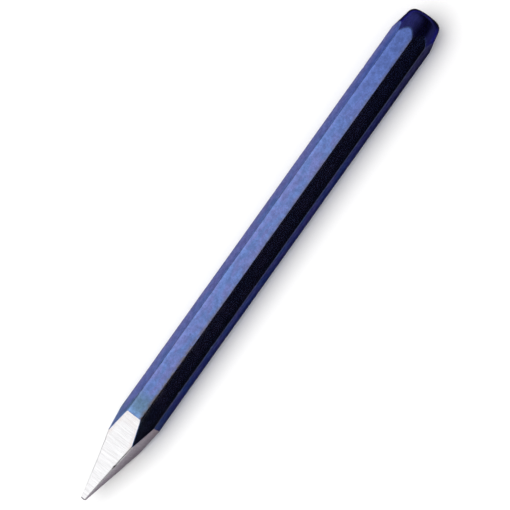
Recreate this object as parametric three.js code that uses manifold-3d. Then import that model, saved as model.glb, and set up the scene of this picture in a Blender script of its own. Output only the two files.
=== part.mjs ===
// Point chisel for stone and masonry, in millimetres.
// One forged octagonal steel bar, turned down to a crowned striking head at one end and
// ground to a four-sided point at the other, under a coat of blue enamel. The coat wraps
// the shank and the head, and the grinding of the point cuts it away.
// The chisel lies on one of its flats: +X runs from the point to the head, +Z is up, and
// the origin is on the lower flat of the coat, halfway along the length.

import * as THREE from "three";
import { mergeVertices } from "three/addons/utils/BufferGeometryUtils.js";
import Module from "manifold-3d";

// Driving dimensions
const overallLength = 250; // from the blunt tip to the crown of the coated head
const barAcrossFlats = 17.7; // octagonal bar before it is coated
const barCornerRadius = 0.8; // rolled corner between two flats of the bar
const enamelThickness = 0.13; // build of the coat
const bondClearance = 0.02; // room between the steel and the inside of the coat
const pointLength = 41.5; // ground face, from the tip to where it runs out on a coated flat
const tipWidth = 1.8; // blunt square end of the point
const headTaperLength = 12.4; // from the end of the steel to where the taper meets the corners
const headEndDiameter = 14.1; // taper carried on to the end of the steel
const headEdgeRadius = 3.6; // round between the taper and the crown
const crownRadius = 28; // curvature of the striking face

// Counts: sides of the bar and the point, and steps on the rounded surfaces
const flats = 8;
const groundFaces = 4;
const cornerDivisions = 2;
const headSegments = 48;
const headDivisions = 3;

// Sizes that follow from the driving dimensions
const coatOutside = bondClearance + enamelThickness;
const barHalf = barAcrossFlats / 2;
const coatedHalf = barHalf + coatOutside;
const flatAngle = (2 * Math.PI) / flats;
const cornerPitch = (barHalf - barCornerRadius) / Math.cos(flatAngle / 2);
const cornerReach = cornerPitch + barCornerRadius;
const steelEnd = overallLength - coatOutside;
const overrun = coatedHalf; // how far a cutting form runs past what it cuts
const mergeDistance = 1e-5;

const wasm = await Module();
wasm.setup();

// A closed geometry as a solid, without the collapsed triangles at a turned form's poles
function toSolid(geometry) {
  geometry.deleteAttribute("normal");
  geometry.deleteAttribute("uv");
  const merged = mergeVertices(geometry, mergeDistance);
  const corners = merged.index.array;
  const triangles = [];
  for (let i = 0; i < corners.length; i += 3) {
    const [a, b, c] = corners.slice(i, i + 3);
    if (a !== b && b !== c && c !== a) {
      triangles.push(a, b, c);
    }
  }
  const mesh = new wasm.Mesh({
    numProp: 3,
    vertProperties: merged.attributes.position.array,
    triVerts: new Uint32Array(triangles),
  });
  return new wasm.Manifold(mesh);
}

function toGeometry(solid) {
  const mesh = solid.getMesh();
  const geometry = new THREE.BufferGeometry();
  geometry.setAttribute("position", new THREE.BufferAttribute(mesh.vertProperties, 3));
  geometry.setIndex(new THREE.BufferAttribute(mesh.triVerts, 1));
  geometry.computeVertexNormals();
  return geometry;
}

// Octagon with rounded corners, grown by a skin on every side
function barSection(skin) {
  const section = new THREE.Shape();
  for (let i = 0; i < flats; i += 1) {
    const start = i * flatAngle;
    const middle = start + flatAngle / 2;
    const x = cornerPitch * Math.cos(middle);
    const y = cornerPitch * Math.sin(middle);
    section.absarc(x, y, barCornerRadius + skin, start, start + flatAngle, false);
  }
  return section;
}

// Turned form of the head: taper, rounded edge and crown are tangent to each other, and a
// skin moves all three outwards alike. In the profile x is the radius and y the height.
function headProfile(skin, foot) {
  const endRadius = headEndDiameter / 2;
  const taper = Math.atan((cornerReach - endRadius) / headTaperLength);
  const outward = new THREE.Vector2(Math.cos(taper), Math.sin(taper));
  const downTaper = new THREE.Vector2(Math.sin(taper), -Math.cos(taper));
  const crownCentre = new THREE.Vector2(0, steelEnd - crownRadius);

  // The edge's centre lies one edge radius inside the taper and touches the crown from inside
  const onTaper = new THREE.Vector2(endRadius, steelEnd);
  const start = onTaper.clone().addScaledVector(outward, -headEdgeRadius);
  const fromCrown = start.clone().sub(crownCentre);
  const reach = crownRadius - headEdgeRadius;
  const along = fromCrown.dot(downTaper);
  const shift = -along - Math.sqrt(along ** 2 - fromCrown.lengthSq() + reach ** 2);
  const edgeCentre = start.addScaledVector(downTaper, shift);
  const toCrown = edgeCentre.clone().sub(crownCentre).angle();

  const outside = cornerReach + overrun;
  const taperFoot = onTaper.clone().addScaledVector(outward, skin);
  taperFoot.addScaledVector(downTaper, (outside - taperFoot.x) / downTaper.x);

  const profile = new THREE.Path();
  profile.moveTo(0, foot);
  profile.lineTo(outside, foot);
  profile.lineTo(taperFoot.x, taperFoot.y);
  profile.absarc(edgeCentre.x, edgeCentre.y, headEdgeRadius + skin, taper, toCrown, false);
  profile.absarc(crownCentre.x, crownCentre.y, crownRadius + skin, toCrown, Math.PI / 2, false);
  return profile.getPoints(headDivisions);
}

// The bar as forged, before the point is ground, from a foot below the tip to the head
function forgedBlank(skin, foot) {
  const depth = overallLength + overrun - foot;
  const options = { depth, bevelEnabled: false, curveSegments: cornerDivisions };
  const prism = new THREE.ExtrudeGeometry(barSection(skin), options);
  prism.translate(0, 0, foot);
  const turned = new THREE.LatheGeometry(headProfile(skin, foot - overrun), headSegments);
  turned.rotateX(Math.PI / 2);
  return toSolid(prism).intersect(toSolid(turned));
}

// Four grinding planes as one long square frustum, in line with every other flat
function groundPoint() {
  const slope = (coatedHalf - tipWidth / 2) / pointLength;
  const height = overallLength + overrun;
  const halfAngle = Math.PI / groundFaces;
  const tipRadius = tipWidth / 2 / Math.cos(halfAngle);
  const farRadius = (tipWidth / 2 + slope * height) / Math.cos(halfAngle);
  const frustum = new THREE.CylinderGeometry(farRadius, tipRadius, height, groundFaces);
  frustum.rotateY(halfAngle);
  frustum.rotateX(Math.PI / 2);
  frustum.translate(0, 0, height / 2);
  return toSolid(frustum);
}

function makeSteelBar() {
  return forgedBlank(0, -overrun).intersect(groundPoint());
}

// The inner blank starts lower than the outer one, so the coat is open at the point
function makeEnamelCoat() {
  const outside = forgedBlank(coatOutside, -overrun);
  const inside = forgedBlank(bondClearance, -2 * overrun);
  return outside.subtract(inside).intersect(groundPoint());
}

const groundSteel = new THREE.MeshStandardMaterial({
  color: 0xc3c2c6,
  roughness: 0.32,
  metalness: 1,
});
const blueEnamel = new THREE.MeshStandardMaterial({
  color: 0x2b3a86,
  roughness: 0.4,
  metalness: 0.3,
});

const steelBar = new THREE.Mesh(toGeometry(makeSteelBar()), groundSteel);
steelBar.name = "steel_bar";
const enamelCoat = new THREE.Mesh(toGeometry(makeEnamelCoat()), blueEnamel);
enamelCoat.name = "enamel_coat";

// Modelled standing on its tip, then laid down on a flat
const tool = new THREE.Group();
tool.add(steelBar, enamelCoat);
tool.rotation.y = Math.PI / 2;
tool.position.set(-overallLength / 2, 0, coatedHalf);

const pointChisel = new THREE.Group();
pointChisel.add(tool);

export default pointChisel;
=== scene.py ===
import math
import random

import bpy
import numpy as np
from mathutils import Matrix, Vector, noise


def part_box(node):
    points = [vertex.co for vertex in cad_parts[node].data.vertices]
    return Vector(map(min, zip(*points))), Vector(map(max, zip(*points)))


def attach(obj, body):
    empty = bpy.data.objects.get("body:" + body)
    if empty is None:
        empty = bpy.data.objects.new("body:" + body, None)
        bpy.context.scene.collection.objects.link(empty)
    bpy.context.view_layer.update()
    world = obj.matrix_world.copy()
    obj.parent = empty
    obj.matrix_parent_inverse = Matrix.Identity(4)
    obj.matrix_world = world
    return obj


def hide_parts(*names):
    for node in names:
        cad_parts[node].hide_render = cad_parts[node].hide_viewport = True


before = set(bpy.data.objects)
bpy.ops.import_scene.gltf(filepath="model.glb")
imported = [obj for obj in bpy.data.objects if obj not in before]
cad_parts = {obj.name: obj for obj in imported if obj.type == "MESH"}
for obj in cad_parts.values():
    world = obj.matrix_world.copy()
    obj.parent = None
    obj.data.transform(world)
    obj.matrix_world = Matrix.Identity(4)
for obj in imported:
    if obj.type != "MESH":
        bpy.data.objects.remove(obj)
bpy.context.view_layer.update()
scene = bpy.context.scene
print("frame", len(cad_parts), "nodes")

# the frame's own sizes, in metres: the tool lies along X, point at the low end
barLow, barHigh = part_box("steel_bar")
coatLow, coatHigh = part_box("enamel_coat")
axisHeight = (coatLow[2] + coatHigh[2]) / 2
barHalf = (barHigh[2] - barLow[2]) / 2  # axis to flat, bare steel
coatHalf = (coatHigh[2] - coatLow[2]) / 2  # axis to flat, over the enamel
coatSkin = coatHalf - barHalf
tipX = barLow[0]
steelEnd = barHigh[0]

# what the steel and the enamel on it share
barShape = {
    "flats": 8,
    "cornerRadius": 0.0008,
    "pointLength": 0.0415,  # tip to the end of a ground face on an enamelled flat
    "tipWidth": 0.0018,
    "groundFaces": 4,
    # for each ground face, from the far side over the top
    "groundExtra": (0.0003, 0.0010, 0.0011, 0.0004),  # how far the hand grinding ran on
    "groundHollow": (0.0002, 0.0007, 0.0, 0.0),  # how far the wheel dished it
    "groundSearch": 1.2,  # point lengths in which every ground face runs out
    "groundHalvings": 40,
    "headTaper": 0.0124,
    "headEnd": 0.0141,  # taper's diameter carried on to the end of the steel
    "headEdge": 0.0036,  # round between the taper and the crown
    "crown": 0.028,
    "taperRun": 0.0018,  # the taper's rows start this far before it meets the corners
    "flatSteps": 16,
    "cornerSteps": 4,
    "taperSteps": 60,
    "edgeSteps": 12,
    "crownSteps": 10,
    "hiddenSteps": 30,  # along the shank, under the enamel
    "ridgeSoft": 0.03,  # ridges are rounded off by half this share of their reach
    "ridgeCrowd": 0.7,  # columns drawn together at the ridges and the corners
    "scallopSoft": 0.00008,  # rounding where the taper cuts the flats
}
flatAngle = 2 * math.pi / barShape["flats"]
faceAngle = 2 * math.pi / barShape["groundFaces"]
cornerPitch = (barHalf - barShape["cornerRadius"]) / math.cos(flatAngle / 2)
tipHalf = barShape["tipWidth"] / 2

# hammer and handling marks, all of them pressed inwards
forging = {
    "seed": 11,
    "waveLength": 0.013,
    "waveTurns": 1.7,  # how quickly the waves change round the bar
    "waveDepth": 0.00009,
    "nicks": 18,  # knocks on the corners
    "nickDepth": (0.00005, 0.00016),
    "nickLength": (0.0004, 0.0012),
    "nickWidth": 0.00045,
    "quietEdge": 0.005,  # the marks fade out towards the ground edge
    "quietCrown": coatHalf / 2,  # and inside this radius on the crown
    "hiddenDepth": 0.0004,  # faces under the enamel lie deeper than any mark
}


def columnAngles():
    flatHalf = (barHalf - barShape["cornerRadius"]) * math.tan(flatAngle / 2)
    outerCorner = barShape["cornerRadius"] + coatSkin
    even = np.linspace(-1, 1, barShape["flatSteps"] + 1)
    crowded = even - barShape["ridgeCrowd"] * np.sin(2 * math.pi * even) / (2 * math.pi)
    angles = []
    for k in range(barShape["flats"]):
        middle = k * flatAngle
        for w in crowded if k % 2 else even:  # a ridge ends on every other flat
            angles.append(middle + math.atan2(w * flatHalf, coatHalf))
        for a in np.linspace(0, flatAngle, barShape["cornerSteps"] + 1)[1:-1]:
            out = cornerPitch + outerCorner * math.cos(a - flatAngle / 2)
            side = outerCorner * math.sin(a - flatAngle / 2)
            angles.append(middle + flatAngle / 2 + math.atan2(side, out))
    return np.array(angles)


def offFlat(angles):
    return np.abs((angles + flatAngle / 2) % flatAngle - flatAngle / 2)  # from the flat's middle


def outlineRadius(angles, skin):
    half = barHalf + skin
    corner = barShape["cornerRadius"] + skin
    away = offFlat(angles)
    toCorner = flatAngle / 2 - away
    inside = np.maximum(corner**2 - (cornerPitch * np.sin(toCorner)) ** 2, 0)
    arc = cornerPitch * np.cos(toCorner) + np.sqrt(inside)
    flatEnd = math.atan((barHalf - barShape["cornerRadius"]) * math.tan(flatAngle / 2) / half)
    return np.where(away <= flatEnd, half / np.cos(away), arc)


def headProfile(skin):
    # taper, edge round and crown, tangent to each other; rows of (x, radius)
    endRadius = barShape["headEnd"] / 2
    reach = cornerPitch + barShape["cornerRadius"]
    taper = math.atan((reach - endRadius) / barShape["headTaper"])
    outward = np.array([math.sin(taper), math.cos(taper)])  # in x, radius
    down = np.array([-math.cos(taper), math.sin(taper)])
    crownAt = np.array([steelEnd - barShape["crown"], 0.0])
    start = np.array([steelEnd, endRadius]) - outward * barShape["headEdge"]
    fromCrown = start - crownAt
    along = fromCrown @ down
    span = barShape["crown"] - barShape["headEdge"]
    edgeAt = start + down * (-along - math.sqrt(along**2 - fromCrown @ fromCrown + span**2))
    turn = math.atan2(*(edgeAt - crownAt)[::-1])  # crown's half angle, from the axis
    taperFoot = np.array([steelEnd, endRadius]) + outward * skin
    taperFoot = taperFoot + down * (barShape["headTaper"] + barShape["taperRun"]) / math.cos(taper)
    edgeFoot = edgeAt + outward * (barShape["headEdge"] + skin)
    rows = []
    for u in np.linspace(0, 1, barShape["taperSteps"]):
        rows.append(taperFoot + (edgeFoot - taperFoot) * u)
    for a in np.linspace(math.pi / 2 - taper, turn, barShape["edgeSteps"])[1:]:
        rows.append(edgeAt + (barShape["headEdge"] + skin) * np.array([math.cos(a), math.sin(a)]))
    for a in np.linspace(turn, 0, barShape["crownSteps"])[1:-1]:
        rows.append(crownAt + (barShape["crown"] + skin) * np.array([math.cos(a), math.sin(a)]))
    top = crownAt[0] + barShape["crown"] + skin
    return np.array(rows), top


def softLess(a, b, k):
    # the lesser of two radii, rounded where they come within k of each other
    near = np.maximum(k - np.abs(a - b), 0) / k
    return np.minimum(a, b) - near * near * k / 4


def easeIn(value, full):
    u = np.clip(value / full, 0, 1)
    return u * u * (3 - 2 * u)


def faceReach(x, face):
    # axis to a ground face at x; the faces count from the far side over the top
    u = (x - tipX) / (barShape["pointLength"] + barShape["groundExtra"][face])
    hollow = 4 * barShape["groundHollow"][face] * u * (1 - u)  # deepest halfway along
    return tipHalf + (coatHalf - tipHalf) * u - hollow


def groundRadius(x, angles):
    # axis to the four ground faces at x, with a fine round on the ridges
    c, s = np.cos(angles), np.sin(angles)
    side = np.abs(c) / np.where(c > 0, faceReach(x, 0), faceReach(x, 2))
    top = np.abs(s) / np.where(s > 0, faceReach(x, 1), faceReach(x, 3))
    blunt = barShape["ridgeSoft"] * (side + top) / 2
    return 2 / (side + top + np.sqrt((side - top) ** 2 + blunt**2))


def groundEdge(angles, skin):
    # x where a ground face runs out on a surface of that skin, closed in on by halves
    outline = outlineRadius(angles, skin)
    low = np.full(len(angles), tipX)
    high = low + barShape["pointLength"] * barShape["groundSearch"]
    for _ in range(barShape["groundHalvings"]):
        middle = (low + high) / 2
        below = groundRadius(middle, angles) < outline
        low = np.where(below, middle, low)
        high = np.where(below, high, middle)
    return low


def aroundFrom(angles, angle):
    return (angles - angle + math.pi) % (2 * math.pi) - math.pi


def pickNicks():
    pick = random.Random(forging["seed"])
    start = tipX + barShape["pointLength"] + forging["quietEdge"]
    nicks = []
    for _ in range(forging["nicks"]):
        x = pick.uniform(start, steelEnd - barShape["headTaper"])
        angle = (pick.randrange(barShape["flats"]) + 0.5) * flatAngle  # on a corner
        depth = pick.uniform(*forging["nickDepth"])
        length = pick.uniform(*forging["nickLength"])
        nicks.append((x, angle, depth, length))
    return nicks


cornerNicks = pickNicks()


def forgedDip(x, angles):
    turns = forging["waveTurns"]
    waves = []
    for along, a in zip(x, angles):
        place = (along / forging["waveLength"], turns * math.cos(a), turns * math.sin(a))
        waves.append(noise.noise(place))
    dip = forging["waveDepth"] * (0.5 + 0.5 * np.array(waves))
    for nickX, nickAngle, depth, length in cornerNicks:
        side = aroundFrom(angles, nickAngle) * coatHalf
        dip += depth * np.exp(-(((x - nickX) / length) ** 2) - (side / forging["nickWidth"]) ** 2)
    return dip


def ring(x, radius, angles):
    return np.stack([x, radius * np.cos(angles), axisHeight + radius * np.sin(angles)], 1)


def blankRows(skin, angles, startX, shankSteps, hidden):
    # rings from the ground edge to the crown
    outline = outlineRadius(angles, skin)
    head, top = headProfile(skin)
    path = []
    for u in np.linspace(0, 1, shankSteps)[:-1]:
        path.append((startX + (head[0][0] - startX) * u, outline))
    for x, r in head:
        path.append((np.full(len(angles), x), softLess(outline, r, barShape["scallopSoft"])))
    rows = []
    for x, radius in path:
        if hidden:
            sink = np.full(len(angles), forging["hiddenDepth"])
        else:
            sink = forgedDip(x, angles) * easeIn(radius, forging["quietCrown"])
        rows.append(ring(x, radius - sink * easeIn(x - startX, forging["quietEdge"]), angles))
    return rows, top


class MeshRows:
    def __init__(self, columns):
        self.columns = columns
        self.points = []
        self.faces = []
        self.sharpRows = []
        self.marks = {}

    def add(self, rows):
        first = len(self.points)
        for row in rows:
            self.points.extend(row)
        return first

    def skinBetween(self, lower, upper, outward=True):
        n = self.columns
        for j in range(n):
            k = (j + 1) % n
            quad = (lower + j, lower + k, upper + k, upper + j)
            self.faces.append(quad if outward else quad[::-1])

    def tube(self, first, count, outward=True):
        for i in range(count - 1):
            self.skinBetween(first + i * self.columns, first + (i + 1) * self.columns, outward)

    def cap(self, row, centre, outward=True):
        n = self.columns
        tip = len(self.points)
        self.points.append(centre)
        for j in range(n):
            face = (row + j, row + (j + 1) % n, tip)
            self.faces.append(face if outward else face[::-1])

    def build(self, name, material):
        mesh = bpy.data.meshes.new(name)
        mesh.from_pydata([tuple(p) for p in self.points], [], self.faces)
        mesh.polygons.foreach_set("use_smooth", [True] * len(mesh.polygons))
        ends = np.empty(len(mesh.edges) * 2, dtype=np.int32)
        mesh.edges.foreach_get("vertices", ends)
        ends = ends.reshape(-1, 2)
        sharp = np.zeros(len(ends), dtype=bool)
        for row in self.sharpRows:
            sharp |= ((ends >= row) & (ends < row + self.columns)).all(1)
        mesh.attributes.new("sharp_edge", "BOOLEAN", "EDGE").data.foreach_set("value", sharp)
        for mark, values in self.marks.items():
            mesh.attributes.new(mark, "FLOAT", "POINT").data.foreach_set("value", values)
        mesh.materials.append(material)
        piece = bpy.data.objects.new(name, mesh)
        scene.collection.objects.link(piece)
        return piece


def newMaterial(name):
    material = bpy.data.materials.new(name)
    material.use_nodes = True
    tree = material.node_tree
    return material, tree, tree.nodes["Principled BSDF"]


def addNode(tree, kind, inputs, **settings):
    made = tree.nodes.new("ShaderNode" + kind)
    for key, value in settings.items():
        setattr(made, key, value)
    for key, value in inputs.items():
        if isinstance(value, bpy.types.NodeSocket):
            tree.links.new(value, made.inputs[key])
        else:
            made.inputs[key].default_value = value
    return made.outputs


def grainNoise(tree, place, grain):
    size, detail, rough = grain
    values = {"Vector": place, "Scale": 1 / size, "Detail": detail, "Roughness": rough}
    return addNode(tree, "TexNoise", values)["Fac"]


def spread(tree, value, low, high, toLow=0.0, toHigh=1.0):
    values = {"Value": value, "From Min": low, "From Max": high, "To Min": toLow, "To Max": toHigh}
    return addNode(tree, "MapRange", values, interpolation_type="SMOOTHSTEP")["Result"]


def times(tree, a, b):
    return addNode(tree, "Math", {0: a, 1: b}, operation="MULTIPLY")["Value"]


def plus(tree, a, b):
    return addNode(tree, "Math", {0: a, 1: b}, operation="ADD")["Value"]


def blendColour(tree, share, under, over):
    # a Mix node has its colours at 6 and 7, and the blended colour third
    return addNode(tree, "Mix", {0: share, 6: under, 7: over}, data_type="RGBA").values()[2]


def markValue(tree, name):
    return addNode(tree, "Attribute", {}, attribute_name=name)["Fac"]


def finishShader(tree, shader, colour, rough, height, finish):
    relief = {"Strength": 1.0, "Distance": finish["reliefDepth"], "Height": height}
    bump = addNode(tree, "Bump", relief)
    tree.links.new(colour, shader.inputs["Base Color"])
    tree.links.new(rough, shader.inputs["Roughness"])
    tree.links.new(bump["Normal"], shader.inputs["Normal"])
    shader.inputs["Metallic"].default_value = finish["metallic"]
    shader.inputs["Specular Tint"].default_value = finish["edgeTint"]


# enamel: a dark metallic blue lacquer with a fine speckle
enamel = {
    "shankSteps": 370,
    "bond": 0.00002,  # inside of the coat to the steel
    "chips": 9,  # small losses along the ground edge
    "chipSize": (0.0001, 0.0003),
    "chipWidth": (0.0003, 0.0008),
    "chipSeed": 23,
    "edgeRipple": 0.00006,
    "rippleTurns": 9,  # how quickly it changes round the bar
    "rippleSeed": 3.0,
    "coolBlue": (0.108, 0.172, 0.405, 1),
    "warmBlue": (0.136, 0.164, 0.392, 1),
    "deepBlue": (0.088, 0.139, 0.388, 1),  # thicker towards the head
    "paintedReflectionBlue": (0.124, 0.150, 0.280, 1),  # painted reflection tint on the near flat, towards the head
    "deepFrom": 0.165,  # from the tip
    "deepTo": 0.235,
    "heatedBlue": (0.102, 0.178, 0.285, 1),  # dulled by the grinding heat
    "feathered": (0.150, 0.265, 0.500, 1),  # thinned next to the ground edge
    "headBlue": (0.042, 0.046, 0.240, 1),  # thicker paint on the head
    "paintedSheenBlue": (0.190, 0.205, 0.440, 1),  # painted sheen along the far side, strongest by its upper corner
    "wornThrough": (0.135, 0.120, 0.125, 1),  # forge scale on the corners
    # how the paint changes round the bar, by degrees from the far side over the top; apart from the
    # grinding heat these are painted light: a sheen, a reflection tint, shade and a highlight
    "grindHeat": [
        (0, 0.8),
        (45, 0.4),
        (80, 1),
        (110, 1),
        (150, 0.3),
        (210, 0.3),
        (270, 1),
        (360, 0.8),
    ],
    # painted sheen along the far side
    "paintedSheen": [(0, 0.4), (22, 0.8), (32, 0.7), (50, 0.2), (60, 0), (335, 0), (360, 0.4)],
    # painted reflection tint on the near flat
    "paintedReflectionTint": [(0, 0), (150, 0), (158, 1), (203, 1), (215, 0), (360, 0)],
    # painted shade on the near side and a painted highlight on the corner between the top and the
    # upper far flat
    "shankPaintedShading": [
        (0, 1),
        (67, 1),
        (70, 1.24),
        (78, 1),
        (140, 1),
        (157, 0.35),
        (165, 0.62),
        (172, 0.7),
        (180, 0.62),
        (187, 0.5),
        (195, 0.45),
        (203, 0.4),
        (225, 1),
        (360, 1),
    ],
    # painted shade on the head's far side and on its upper near side
    "headPaintedShade": [
        (0, 1),
        (20, 0.5),
        (45, 0.55),
        (60, 0.9),
        (70, 1),
        (124, 1),
        (134, 0.6),
        (143, 0.28),
        (158, 0.28),
        (168, 0.5),
        (180, 1),
        (200, 0.9),
        (230, 1),
        (360, 1),
    ],
    "rimTone": 0.35,  # the struck end is darkened to this share
    "rimReach": 0.0045,
    "headBlend": 0.00012,  # depth of the taper's cut at which the paint is all the head's
    # rub on the corners, from the far side over the top: how wide and how strong
    "cornerBand": (0.0006, 0.0006, 0.0010, 0.0006, 0.0006, 0.0008, 0.0008, 0.0006),
    "cornerRub": (0.5, 0.1, 1.0, 0.4, 0.5, 0.7, 0.7, 0.5),
    "gripFrom": 0.075,  # worn most near the point; from here on less
    "gripLength": 0.04,
    "gripLess": 0.5,
    "shankFade": 0.002,  # the rub ends in this length of the head's taper
    # grain of the paint: size, detail, roughness
    "mottleGrain": (0.0036, 3.0, 0.6),
    "mottleStretch": 2.4,  # the brush ran along the bar
    "patchGrain": (0.0019, 2.0, 0.5),
    "speckGrain": (0.0008, 2.0, 0.6),
    "rubGrain": (0.0021, 4.0, 0.65),
    "flakeSize": 0.00042,
    # by metres from the ground edge: where a finish starts and where it is full
    "heatedGap": (0.0125, 0.006),
    "featherGap": (0.0030, 0.0004),
    # by the grain: from and to, and the values there where they aren't 0 and 1
    "warmShare": (0.36, 0.64),
    "paintedSheenShare": (0.30, 0.60, 0.7, 1.0),
    "heatedShare": (0.30, 0.52, 0.55, 1.0),
    "featherShare": (0.30, 0.60, 0.45, 0.9),
    "wornShare": (0.34, 0.56, 0.25, 1.0),
    "speckLight": (0.28, 0.72, 0.85, 1.05),
    "patchLight": (0.30, 0.70, 0.87, 1.13),
    "roughSpread": (0.32, 0.68, 0.15, 0.21),
    "wornDull": 0.14,  # added to the roughness
    "headDull": 0.10,
    "flakeGlint": 0.11,
    "flakePeel": 0.35,
    "wornSink": -1.2,  # worn paint lies lower
    "reliefDepth": 0.0000020,
    "metallic": 0.96,
    "edgeTint": (0.27, 0.21, 0.19, 1),  # reflection at a glancing angle
}


def aroundBar(angles, table):
    turns, values = zip(*table)
    return np.interp(np.degrees(angles) % 360, turns, values)


def edgeChips(angles):
    pick = random.Random(enamel["chipSeed"])
    loss = np.zeros(len(angles))
    for _ in range(enamel["chips"]):
        side = aroundFrom(angles, pick.uniform(0, 2 * math.pi)) * coatHalf
        size = pick.uniform(*enamel["chipSize"])
        loss += size * np.exp(-((side / pick.uniform(*enamel["chipWidth"])) ** 2))
    turns = enamel["rippleTurns"]
    ripple = []
    for a in angles:
        ripple.append(noise.noise((turns * math.cos(a), turns * math.sin(a), enamel["rippleSeed"])))
    return loss + enamel["edgeRipple"] * (1 + np.array(ripple))


def enamelMaterial():
    material, tree, shader = newMaterial("blueEnamel")
    place = addNode(tree, "TexCoord", {})["Object"]
    drawnOut = {"Vector": place, "Scale": (1 / enamel["mottleStretch"], 1, 1)}
    brushed = addNode(tree, "Mapping", drawnOut)["Vector"]
    mottle = grainNoise(tree, brushed, enamel["mottleGrain"])
    patch = grainNoise(tree, place, enamel["patchGrain"])
    speck = grainNoise(tree, place, enamel["speckGrain"])
    rub = grainNoise(tree, place, enamel["rubGrain"])
    flakes = {"Vector": place, "Scale": 1 / enamel["flakeSize"]}
    flake = addNode(tree, "TexVoronoi", flakes)["Color"]
    flakeLight = addNode(tree, "RGBToBW", {0: flake})[0]

    # colour: mottled blue, deeper towards the head and duller towards the ground edge
    warm = spread(tree, mottle, *enamel["warmShare"])
    colour = blendColour(tree, warm, enamel["coolBlue"], enamel["warmBlue"])
    along = addNode(tree, "SeparateXYZ", {"Vector": place})["X"]
    deep = spread(tree, along, tipX + enamel["deepFrom"], tipX + enamel["deepTo"])
    colour = blendColour(tree, deep, colour, enamel["deepBlue"])
    # painted reflection tint on the near flat, growing towards the head
    paintedReflectionTint = times(tree, deep, markValue(tree, "paintedReflectionTint"))
    colour = blendColour(tree, paintedReflectionTint, colour, enamel["paintedReflectionBlue"])
    # painted sheen along the far side, broken up by the rub grain
    pale = times(tree, markValue(tree, "paintedSheen"), spread(tree, rub, *enamel["paintedSheenShare"]))
    colour = blendColour(tree, pale, colour, enamel["paintedSheenBlue"])
    gap = markValue(tree, "groundGap")
    heat = markValue(tree, "grindHeat")
    heated = times(tree, heat, spread(tree, gap, *enamel["heatedGap"]))
    heated = times(tree, heated, spread(tree, mottle, *enamel["heatedShare"]))
    colour = blendColour(tree, heated, colour, enamel["heatedBlue"])
    feather = times(tree, heat, spread(tree, gap, *enamel["featherGap"]))
    feather = times(tree, feather, spread(tree, rub, *enamel["featherShare"]))
    colour = blendColour(tree, feather, colour, enamel["feathered"])
    head = markValue(tree, "headSide")
    colour = blendColour(tree, head, colour, enamel["headBlue"])

    # rubbed on the corners, with light specks, flakes and patches all over
    worn = times(tree, markValue(tree, "cornerNear"), spread(tree, rub, *enamel["wornShare"]))
    colour = blendColour(tree, worn, colour, enamel["wornThrough"])
    glint = times(tree, flakeLight, enamel["flakeGlint"])
    light = plus(tree, spread(tree, speck, *enamel["speckLight"]), glint)
    light = times(tree, light, spread(tree, patch, *enamel["patchLight"]))
    # painted shade and highlight round the bar, from a mark on the mesh
    light = times(tree, light, markValue(tree, "paintedShading"))
    colour = addNode(tree, "HueSaturation", {"Color": colour, "Value": light})["Color"]

    rough = spread(tree, mottle, *enamel["roughSpread"])
    rough = plus(tree, rough, times(tree, worn, enamel["wornDull"]))
    rough = plus(tree, rough, times(tree, head, enamel["headDull"]))
    peel = plus(tree, speck, times(tree, flakeLight, enamel["flakePeel"]))
    peel = plus(tree, peel, times(tree, worn, enamel["wornSink"]))
    finishShader(tree, shader, colour, rough, peel, enamel)
    return material


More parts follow.
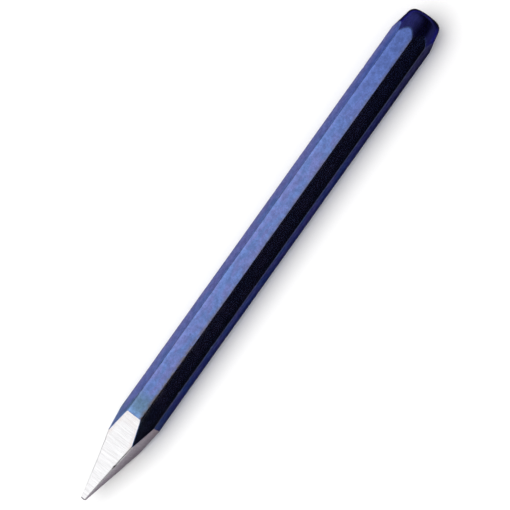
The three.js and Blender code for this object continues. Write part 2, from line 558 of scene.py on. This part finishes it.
def makeEnamel():
    angles = columnAngles()
    coat = MeshRows(len(angles))
    chips = edgeChips(angles)
    outerStart = groundEdge(angles, coatSkin) + chips
    innerStart = groundEdge(angles, enamel["bond"]) + chips
    outer, top = blankRows(coatSkin, angles, outerStart, enamel["shankSteps"], hidden=False)
    innerSteps = barShape["hiddenSteps"]
    inner, innerTop = blankRows(enamel["bond"], angles, innerStart, innerSteps, hidden=True)
    outerFirst = coat.add(outer)
    innerFirst = coat.add(inner)
    coat.tube(outerFirst, len(outer))
    coat.tube(innerFirst, len(inner), outward=False)
    coat.skinBetween(innerFirst, outerFirst)
    coat.sharpRows = [outerFirst, innerFirst]
    n = coat.columns
    coat.cap(outerFirst + (len(outer) - 1) * n, (top, 0, axisHeight))
    innerTop = innerTop - forging["hiddenDepth"]
    coat.cap(innerFirst + (len(inner) - 1) * n, (innerTop, 0, axisHeight), outward=False)

    # marks for the material: where the paint is heated, rubbed or on the head, and where shade, a
    # highlight, a sheen and a reflection tint are painted on
    points = np.array(coat.points)
    alongX = points[:, 0]
    onOuter = np.arange(len(points)) < innerFirst
    column = np.arange(len(points)) % n
    coat.marks["groundGap"] = np.where(onOuter, alongX - outerStart[column], 0)
    toCorner = (flatAngle / 2 - offFlat(angles)) * coatHalf
    corner = np.floor(angles / flatAngle).astype(int) % barShape["flats"]
    band = np.array(enamel["cornerBand"])[corner]
    rubbed = np.exp(-((toCorner / band) ** 2)) * np.array(enamel["cornerRub"])[corner]
    shank = 1 - easeIn(alongX - (steelEnd - barShape["headTaper"]), enamel["shankFade"])
    pastGrip = easeIn(alongX - (tipX + enamel["gripFrom"]), enamel["gripLength"])
    grip = 1 - enamel["gripLess"] * pastGrip
    coat.marks["cornerNear"] = rubbed[column] * grip * shank * onOuter
    turned = np.interp(alongX, *headProfile(coatSkin)[0].T)
    cutDepth = outlineRadius(angles, coatSkin)[column] - turned
    onHead = easeIn(cutDepth, enamel["headBlend"]) * onOuter
    coat.marks["headSide"] = onHead
    for mark in ("grindHeat", "paintedSheen", "paintedReflectionTint"):
        coat.marks[mark] = aroundBar(angles, enamel[mark])[column] * onOuter
    # painted shade and highlight round the shank and the head
    shankPaintedShading = aroundBar(angles, enamel["shankPaintedShading"])[column]
    headPaintedShade = aroundBar(angles, enamel["headPaintedShade"])[column]
    rim = easeIn(alongX - (steelEnd - enamel["rimReach"]), enamel["rimReach"])
    rimShade = 1 - (1 - enamel["rimTone"]) * rim
    coat.marks["paintedShading"] = (shankPaintedShading + (headPaintedShade - shankPaintedShading) * onHead) * rimShade

    piece = coat.build("enamelCoat", enamelMaterial())
    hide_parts("enamel_coat")
    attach(piece, "root")
    print("enamel", len(piece.data.polygons), "faces")


# steel: the forging, which shows only at the ground point
steel = {
    "faceSteps": 120,
    "tipRound": 0.0006,
    "tipSteps": 8,
    "ridgeNicks": [  # from the tip, ridge from the far side over the top, depth, length
        (0.0193, 1, 0.00036, 0.0005),
        (0.0105, 1, 0.00012, 0.0003),
        (0.0262, 0, 0.00016, 0.0006),
        (0.0128, 3, 0.00015, 0.0004),
        (0.0226, 2, 0.00020, 0.0005),
    ],
    "ridgeWidth": 0.00035,
    "wheelPitch": 0.0017,  # faint steps that the wheel leaves
    "wheelDepth": 0.000022,
    "wheelTurns": 2.0,  # how quickly they change round the bar
    "wheelApart": 7.0,  # and from one face to the next
    "quietEdge": 0.001,  # they fade out towards the enamel and the tip
    "quietTip": 0.002,
    "brightSteel": (0.780, 0.780, 0.790, 1),
    "greySteel": (0.655, 0.645, 0.660, 1),
    # painted shade on the ground faces, by degrees from the far side over the top: the near face
    # darkens downwards, the bottom face a little
    "paintedShading": [
        (0, 1),
        (134, 1),
        (136, 0.82),
        (165, 0.82),
        (200, 0.68),
        (224, 0.62),
        (226, 0.92),
        (314, 0.92),
        (316, 1),
        (360, 1),
    ],
    "strawTint": (0.660, 0.600, 0.590, 1),
    "forgedGrey": (0.150, 0.140, 0.145, 1),
    "paintedTipShadeGrey": (0.180, 0.175, 0.185, 1),  # painted shade on the end of the tip
    "paintedTipShadeReach": 0.0008,
    "lineSize": 0.00022,
    "lineLength": 0.009,
    "lineTurn": (0, 7, 5),  # degrees
    "scoreScale": 0.37,  # deep scores are coarser than the lines
    # grain of the steel: size, detail, roughness
    "lineGrain": (1.0, 4.0, 0.7),  # lines and scores are drawn out first
    "scoreGrain": (1.0, 2.0, 0.5),
    "cloudGrain": (1 / 380, 3.0, 0.6),
    "strawGap": (0.006, 0.0004),  # by metres from the enamel: start and full
    # by the grain: from and to, and the values there where they aren't 0 and 1
    "strawShare": (0.35, 0.65, 0.15, 0.7),
    "lineShare": (0.34, 0.66, 0, 0.7),
    "scoreShare": (0.52, 0.70, 0, 0.5),
    "scoreCut": (0.55, 0.70),
    "scoreSink": -0.8,
    "roughSpread": (0.30, 0.70, 0.18, 0.32),
    "scaleDull": 0.2,  # added to the roughness
    "reliefDepth": 0.000006,
    "metallic": 1.0,
    "edgeTint": (0.08, 0.01, 0.09, 1),  # reflection at a glancing angle
}


def groundFace(angles):
    return np.floor((angles + faceAngle / 2) / faceAngle).astype(int) % barShape["groundFaces"]


def grindDip(x, angles):
    waves = []
    for along, a, face in zip(x, angles, groundFace(angles)):
        place = (along / steel["wheelPitch"], steel["wheelTurns"] * a, steel["wheelApart"] * face)
        waves.append(noise.noise(place))
    dip = steel["wheelDepth"] * (0.5 + 0.5 * np.array(waves))
    for fromTip, ridge, depth, length in steel["ridgeNicks"]:
        nickX = tipX + fromTip
        nextFace = (ridge + 1) % barShape["groundFaces"]
        reach = faceReach(nickX, ridge), faceReach(nickX, nextFace)
        nickAngle = ridge * faceAngle + math.atan2(reach[1], reach[0])
        side = aroundFrom(angles, nickAngle) * math.hypot(*reach)
        dip += depth * np.exp(-(((x - nickX) / length) ** 2) - (side / steel["ridgeWidth"]) ** 2)
    return dip


def steelMaterial():
    material, tree, shader = newMaterial("groundSteel")
    place = addNode(tree, "TexCoord", {})["Object"]
    fine = (1 / steel["lineSize"], 1 / steel["lineLength"], 1 / steel["lineLength"])
    turned = tuple(math.radians(v) for v in steel["lineTurn"])
    drawn = addNode(tree, "Mapping", {"Vector": place, "Rotation": turned, "Scale": fine})
    lines = grainNoise(tree, drawn["Vector"], steel["lineGrain"])
    coarse = tuple(v * steel["scoreScale"] for v in fine)
    scored = addNode(tree, "Mapping", {"Vector": place, "Scale": coarse})
    scores = grainNoise(tree, scored["Vector"], steel["scoreGrain"])
    cloud = grainNoise(tree, place, steel["cloudGrain"])

    # colour: bright and grey lines, a straw tint by the enamel, dark scale where it was not ground
    lineGrey = spread(tree, lines, *steel["lineShare"])
    grey = plus(tree, lineGrey, spread(tree, scores, *steel["scoreShare"]))
    colour = blendColour(tree, grey, steel["brightSteel"], steel["greySteel"])
    gap = spread(tree, markValue(tree, "groundGap"), *steel["strawGap"])
    straw = times(tree, gap, spread(tree, cloud, *steel["strawShare"]))
    colour = blendColour(tree, straw, colour, steel["strawTint"])
    scale = markValue(tree, "forgedSide")
    colour = blendColour(tree, scale, colour, steel["forgedGrey"])
    along = addNode(tree, "SeparateXYZ", {"Vector": place})["X"]
    # painted shade on the end of the tip
    paintedTipShade = spread(tree, along, tipX + steel["paintedTipShadeReach"], tipX + steel["paintedTipShadeReach"] / 2)
    colour = blendColour(tree, paintedTipShade, colour, steel["paintedTipShadeGrey"])
    # painted shade on the ground faces, from a mark on the mesh
    paintedShadeInputs = {"Color": colour, "Value": markValue(tree, "paintedShading")}
    colour = addNode(tree, "HueSaturation", paintedShadeInputs)["Color"]

    rough = spread(tree, lines, *steel["roughSpread"])
    rough = plus(tree, rough, times(tree, scale, steel["scaleDull"]))
    sunk = times(tree, spread(tree, scores, *steel["scoreCut"]), steel["scoreSink"])
    finishShader(tree, shader, colour, rough, plus(tree, lines, sunk), steel)
    return material


def makeSteel():
    angles = columnAngles()
    bar = MeshRows(len(angles))
    edgeX = groundEdge(angles, 0)
    roundX = tipX + steel["tipRound"]
    path = []
    for u in np.linspace(0, 1, steel["tipSteps"] + 1)[1:-1]:
        inward = steel["tipRound"] * (1 - math.cos(u * math.pi / 2))
        path.append(np.full(len(angles), tipX + inward))
    for u in np.linspace(0, 1, steel["faceSteps"])[:-1]:
        path.append(roundX + (edgeX - roundX) * u)
    faces = []
    for x in path:
        radius = groundRadius(x, angles)
        short = np.clip((roundX - x) / steel["tipRound"], 0, 1)
        radius = radius * np.sqrt(1 - short**2)
        quiet = easeIn(edgeX - x, steel["quietEdge"]) * easeIn(x - tipX, steel["quietTip"])
        faces.append(ring(x, radius - grindDip(x, angles) * quiet, angles))
    hidden, top = blankRows(0, angles, edgeX, barShape["hiddenSteps"], hidden=True)
    first = bar.add(faces + hidden)
    bar.tube(first, len(faces) + len(hidden))
    n = bar.columns
    edgeRow = first + len(faces) * n
    bar.sharpRows = [edgeRow]
    lastRow = first + (len(faces) + len(hidden) - 1) * n
    bar.cap(lastRow, (top - forging["hiddenDepth"], 0, axisHeight))
    bar.cap(first, (tipX, 0, axisHeight), outward=False)

    points = np.array(bar.points)
    column = np.arange(len(points)) % n
    bar.marks["groundGap"] = np.maximum(edgeX[column] - points[:, 0], 0)
    bar.marks["forgedSide"] = (np.arange(len(points)) > edgeRow + n).astype(float)
    bar.marks["paintedShading"] = aroundBar(angles, steel["paintedShading"])[column]
    piece = bar.build("steelBar", steelMaterial())
    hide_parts("steel_bar")
    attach(piece, "root")
    print("steel", len(piece.data.polygons), "faces")


# camera, standing over the tool with its head turned to the upper right of the picture
cameraView = {
    "pixels": 510,  # each side of the picture
    "toolCentre": (255.2, 257.8),  # its middle, in those pixels
    "pixelsPerMetre": 2378.0,
    "lens": 200.0,
    "sensor": 36.0,
    "clipEnd": 50,
    "tilt": 20.3,  # degrees off the vertical, towards the near side
    "lean": 1.0,  # degrees towards the head
    "roll": 54.5,  # degrees that the tool rises to the right
}


def makeCamera():
    tilt, lean, roll = (math.radians(cameraView[k]) for k in ("tilt", "lean", "roll"))
    upright = math.cos(lean)
    back = Vector((math.sin(lean), -math.sin(tilt) * upright, math.cos(tilt) * upright))
    along = (Vector((1, 0, 0)) - back * back.x).normalized()
    aside = back.cross(along)
    right = along * math.cos(roll) - aside * math.sin(roll)
    up = along * math.sin(roll) + aside * math.cos(roll)
    middle = Vector(((tipX + coatHigh[0]) / 2, 0, axisHeight))
    half = cameraView["pixels"] / 2
    offX = (half - cameraView["toolCentre"][0]) / cameraView["pixelsPerMetre"]
    offY = (cameraView["toolCentre"][1] - half) / cameraView["pixelsPerMetre"]
    target = middle + right * offX + up * offY
    width = cameraView["pixels"] / cameraView["pixelsPerMetre"]
    distance = width * cameraView["lens"] / cameraView["sensor"]
    data = bpy.data.cameras.new("photoCamera")
    data.lens = cameraView["lens"]
    data.sensor_width = cameraView["sensor"]
    data.clip_end = cameraView["clipEnd"]
    camera = bpy.data.objects.new("photoCamera", data)
    turn = Matrix((right, up, back)).transposed()
    camera.matrix_world = Matrix.Translation(target + back * distance) @ turn.to_4x4()
    scene.collection.objects.link(camera)
    scene.camera = camera
    print("camera", round(distance, 3), "m away")


# studio: white floor, a softbox above that reaches past the point and the far side, a wash on
# the floor and a dim room
studio = {
    "floorSize": 12.0,
    "floorColour": (0.93, 0.93, 0.93, 1),
    "softboxLow": (-0.95, -0.12),  # corner of the softbox, x and y
    "softboxHigh": (0.20, 0.95),
    "softboxHeight": 0.75,
    "softboxBright": 0.90,
    "washFrom": (-0.05, -0.21, 0.97),
    "washSpread": 100,  # degrees
    "washBright": 2.4,
    "farSide": (0.45, 0.45, 0.45, 1),  # what polished surfaces see of the room
    "nearSide": (0.014, 0.006, 0.010, 1),
    "roomFrom": (-0.30, 0.85, 0.40),  # towards the middle of its far side
    "roomSpread": (-0.25, 0.9),  # cosines to it where the far side begins and is full
}


def makeStudio():
    bpy.ops.mesh.primitive_plane_add(size=studio["floorSize"])
    floor = bpy.context.object
    floor.name = "studioFloor"
    material, _, shader = newMaterial("paleFloor")
    shader.inputs["Base Color"].default_value = studio["floorColour"]
    shader.inputs["Roughness"].default_value = 1.0
    shader.inputs["Specular IOR Level"].default_value = 0.0
    floor.data.materials.append(material)

    (lowX, lowY), (highX, highY) = studio["softboxLow"], studio["softboxHigh"]
    lamp = bpy.data.lights.new("softbox", "AREA")
    lamp.shape = "RECTANGLE"
    lamp.size, lamp.size_y = highX - lowX, highY - lowY
    lamp.energy = studio["softboxBright"] * math.pi * lamp.size * lamp.size_y
    softbox = bpy.data.objects.new("softbox", lamp)
    softbox.location = ((lowX + highX) / 2, (lowY + highY) / 2, studio["softboxHeight"])
    softbox.visible_camera = False
    scene.collection.objects.link(softbox)

    # the wash lights the floor alone
    sun = bpy.data.lights.new("floorWash", "SUN")
    sun.energy = studio["washBright"]
    sun.angle = math.radians(studio["washSpread"])
    wash = bpy.data.objects.new("floorWash", sun)
    wash.rotation_euler = Vector(studio["washFrom"]).to_track_quat("Z", "Y").to_euler()
    scene.collection.objects.link(wash)
    floorOnly = bpy.data.collections.new("floorOnly")
    floorOnly.objects.link(floor)
    wash.light_linking.receiver_collection = floorOnly

    world = bpy.data.worlds.new("dimRoom")
    world.use_nodes = True
    scene.world = world
    tree = world.node_tree
    background = tree.nodes["Background"]
    direction = addNode(tree, "TexCoord", {})["Generated"]
    facing = {0: direction, 1: Vector(studio["roomFrom"]).normalized()}
    towards = addNode(tree, "VectorMath", facing, operation="DOT_PRODUCT")["Value"]
    far = spread(tree, towards, *studio["roomSpread"])
    room = blendColour(tree, far, studio["nearSide"], studio["farSide"])
    tree.links.new(room, background.inputs["Color"])
    print("studio lit")


makeCamera()
makeStudio()
makeEnamel()
makeSteel()

scene.view_settings.view_transform = "Standard"
